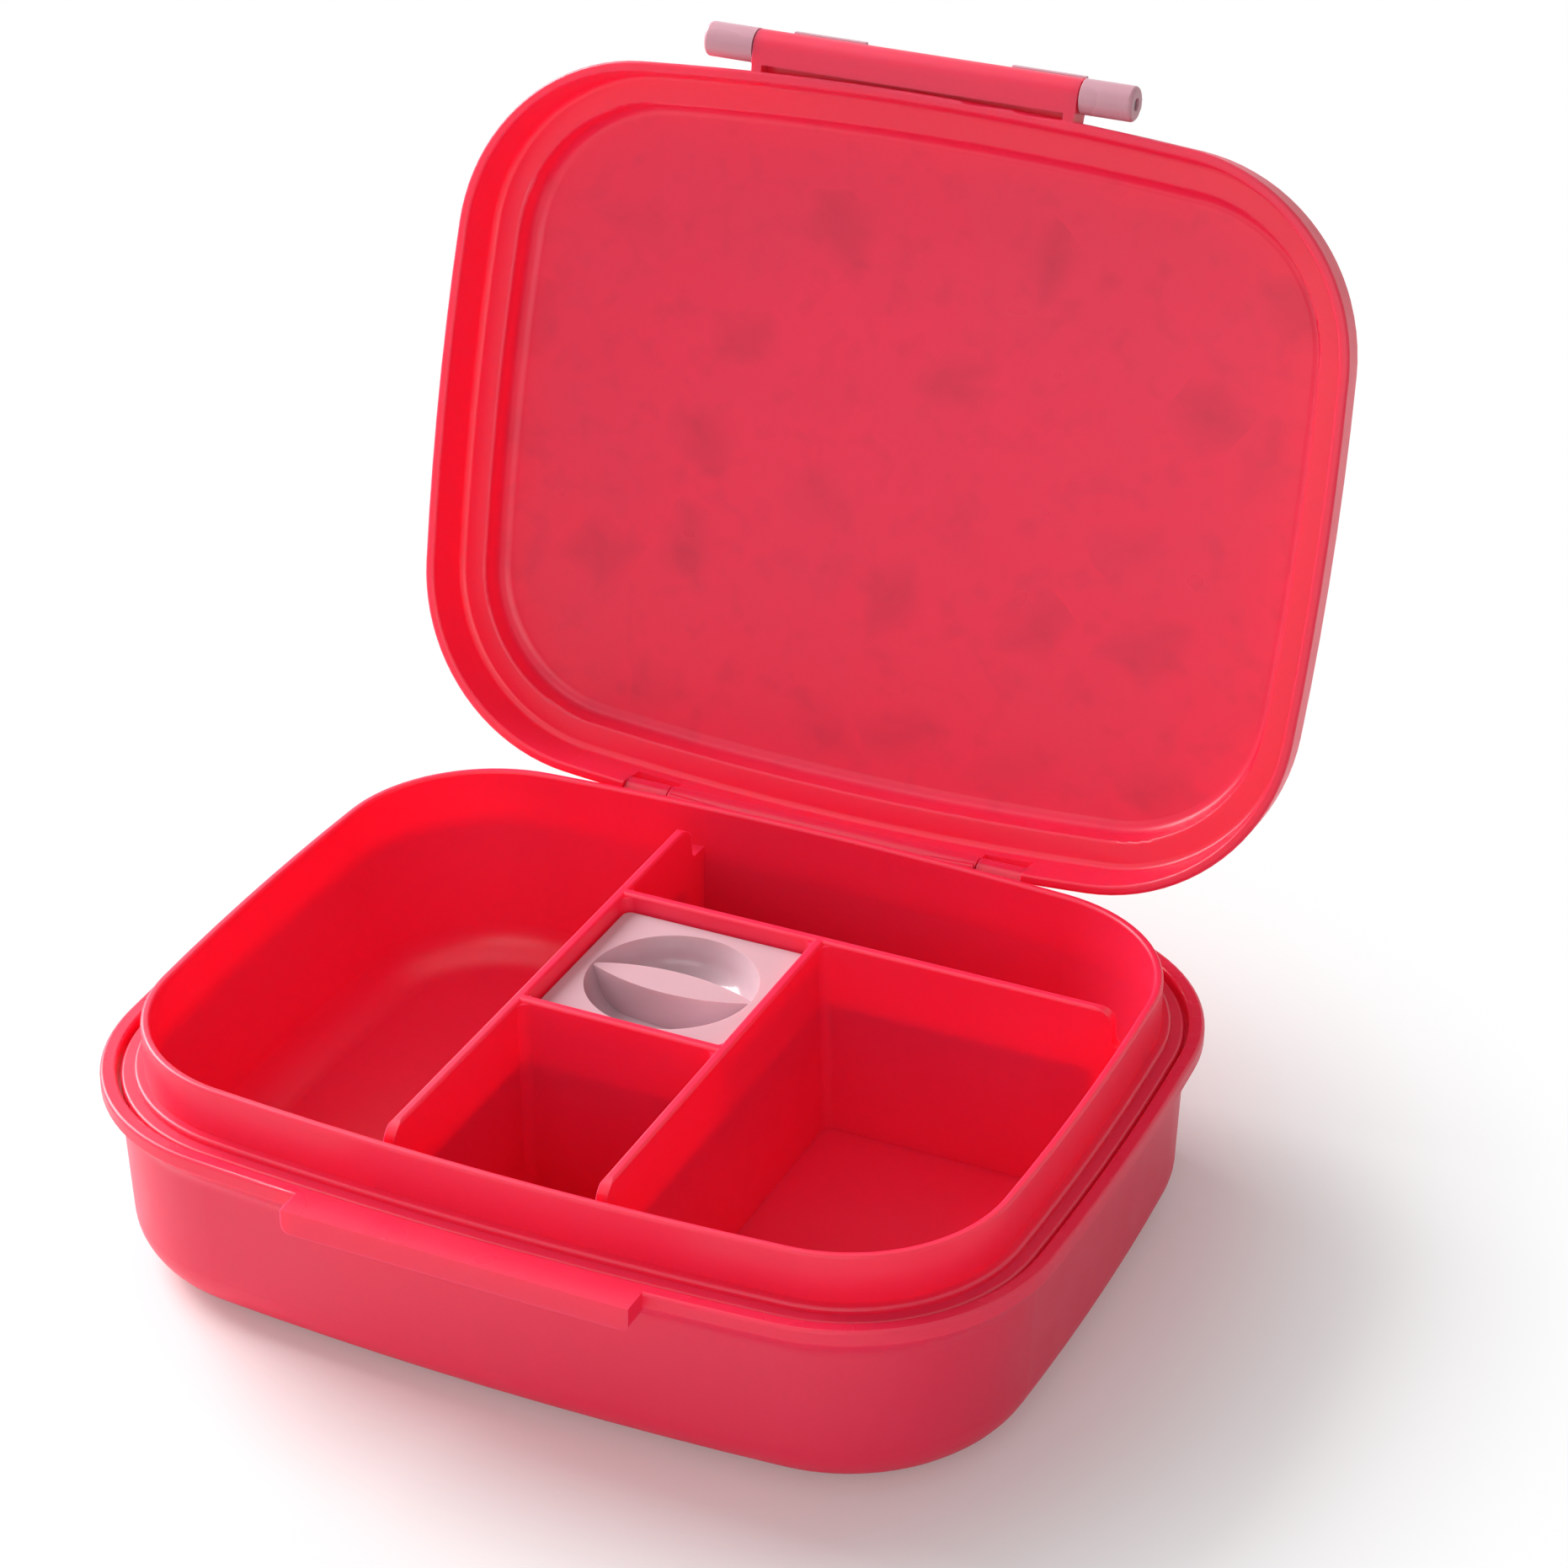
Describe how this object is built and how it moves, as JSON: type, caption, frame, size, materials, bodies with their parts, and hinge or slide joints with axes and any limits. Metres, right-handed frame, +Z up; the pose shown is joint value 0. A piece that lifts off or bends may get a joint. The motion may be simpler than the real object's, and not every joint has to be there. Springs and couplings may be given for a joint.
{
  "type": "lunch box",
  "caption": "Rounded lunch box with a hinged domed lid, a pivoting front latch, and a lift-out divided tray holding a lidded dip pot.",
  "frame": {"origin": "middle of the flat underside of the base tub; the moulded feet reach a little below it", "axes": "+X along the front side, to the right as seen from the front; +Y from the front latch to the back hinge; +Z up"},
  "size_m": [0.2, 0.2216, 0.2034],
  "materials": {
    "coral_plastic": "satin moulded",
    "pink_plastic": "satin moulded",
    "printed_film": "printed film",
    "pin_steel": "drawn wire"
  },
  "bodies": {
    "base": {"base_tub": "coral_plastic", "hinge_pin": "pin_steel"},
    "lid": {"lid_shell": "coral_plastic", "lid_print_film": "printed_film"},
    "latch": {"latch_clip": "pink_plastic", "latch_pin": "pin_steel"},
    "tray": {"food_tray": "coral_plastic"},
    "pot": {"dip_pot": "pink_plastic"},
    "pot_lid": {"dip_pot_lid": "pink_plastic"}
  },
  "joints": [
    {"name": "lid_hinge", "type": "hinge", "parent": "base", "child": "lid", "pos_m": [0, 0.07825, 0.0436], "axis": [-1, 0, 0], "range_deg": [-106, 0]},
    {"name": "latch_pivot", "type": "hinge", "parent": "lid", "child": "latch", "pos_m": [0, 0.1232, 0.19856], "axis": [-1, 0, 0], "range_deg": [-174, 0]},
    {"name": "tray_lift", "type": "slide", "parent": "base", "child": "tray", "axis": [0, 0, 1], "range_m": [0, 0.059]},
    {"name": "pot_lift", "type": "slide", "parent": "tray", "child": "pot", "axis": [0, 0, 1], "range_m": [0, 0.045]},
    {"name": "pot_lid_lift", "type": "slide", "parent": "pot", "child": "pot_lid", "axis": [0, 0, 1], "range_m": [0, 0.02]}
  ]
}
